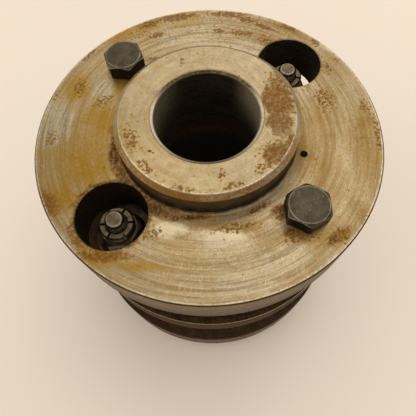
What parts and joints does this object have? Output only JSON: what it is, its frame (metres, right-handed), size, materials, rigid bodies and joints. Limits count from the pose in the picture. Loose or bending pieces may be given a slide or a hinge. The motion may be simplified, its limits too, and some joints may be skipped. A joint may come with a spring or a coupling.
{
  "type": "disc coupling",
  "caption": "Double-flexing disc shaft coupling: two flanged hubs joined through laminated spring-steel packs to a floating centre plate.",
  "frame": {"origin": "on the shaft axis, at the end face of the lower hub's boss", "axes": "+Z along the shaft axis, towards the upper hub; the studs are in the plane at 45 degrees between +X and +Y, the hub bolts at 135 degrees"},
  "size_m": [0.1142, 0.1142, 0.1164],
  "materials": {
    "turned_steel": "turned, worn and oil-stained, with rust spots",
    "rusted_steel": "machined, with a brown rust film",
    "spring_steel": "thin rolled sheet, dull",
    "washer_steel": "dark, lightly rusted",
    "nut_steel": "dull plated, worn",
    "black_bolt_steel": "black oxide, worn at the corners"
  },
  "bodies": {
    "lower_hub_group": {"lower_hub": "turned_steel", "lower_hub_bolts": "black_bolt_steel", "lower_flange_washers": "washer_steel", "lower_nut_washers": "washer_steel", "lower_hub_nuts": "nut_steel"},
    "lower_disc_pack": {"lower_lamination_1": "spring_steel", "lower_lamination_2": "spring_steel", "lower_lamination_3": "spring_steel", "lower_lamination_4": "spring_steel", "lower_lamination_5": "spring_steel", "lower_lamination_6": "spring_steel", "lower_pack_eyelets": "spring_steel"},
    "centre_group": {"centre_plate": "rusted_steel", "plate_studs": "nut_steel", "lower_stud_nuts": "nut_steel", "lower_stud_washers": "washer_steel", "lower_sleeve_washers": "washer_steel", "lower_spacer_sleeves": "washer_steel", "upper_stud_nuts": "nut_steel", "upper_stud_washers": "washer_steel", "upper_sleeve_washers": "washer_steel", "upper_spacer_sleeves": "washer_steel"},
    "upper_disc_pack": {"upper_lamination_1": "spring_steel", "upper_lamination_2": "spring_steel", "upper_lamination_3": "spring_steel", "upper_lamination_4": "spring_steel", "upper_lamination_5": "spring_steel", "upper_lamination_6": "spring_steel", "upper_pack_eyelets": "spring_steel"},
    "upper_hub_group": {"upper_hub": "turned_steel", "upper_hub_bolts": "black_bolt_steel", "upper_flange_washers": "washer_steel", "upper_nut_washers": "washer_steel", "upper_hub_nuts": "nut_steel"}
  },
  "joints": [
    {"name": "lower_pack_bend_at_hub", "type": "hinge", "parent": "lower_hub_group", "child": "lower_disc_pack", "pos_m": [0, 0, 0.02928], "axis": [-0.7071, 0.7071, 0], "range_deg": [-0.5, 0.5], "stiffness_Nm_per_rad": 60},
    {"name": "lower_pack_bend_at_plate", "type": "hinge", "parent": "lower_disc_pack", "child": "centre_group", "pos_m": [0, 0, 0.02928], "axis": [0.7071, 0.7071, 0], "range_deg": [-0.5, 0.5], "stiffness_Nm_per_rad": 60},
    {"name": "upper_pack_bend_at_plate", "type": "hinge", "parent": "centre_group", "child": "upper_disc_pack", "pos_m": [0, 0, 0.08712], "axis": [0.7071, 0.7071, 0], "range_deg": [-0.5, 0.5], "stiffness_Nm_per_rad": 60},
    {"name": "upper_pack_bend_at_hub", "type": "hinge", "parent": "upper_disc_pack", "child": "upper_hub_group", "pos_m": [0, 0, 0.08712], "axis": [-0.7071, 0.7071, 0], "range_deg": [-0.5, 0.5], "stiffness_Nm_per_rad": 60}
  ]
}
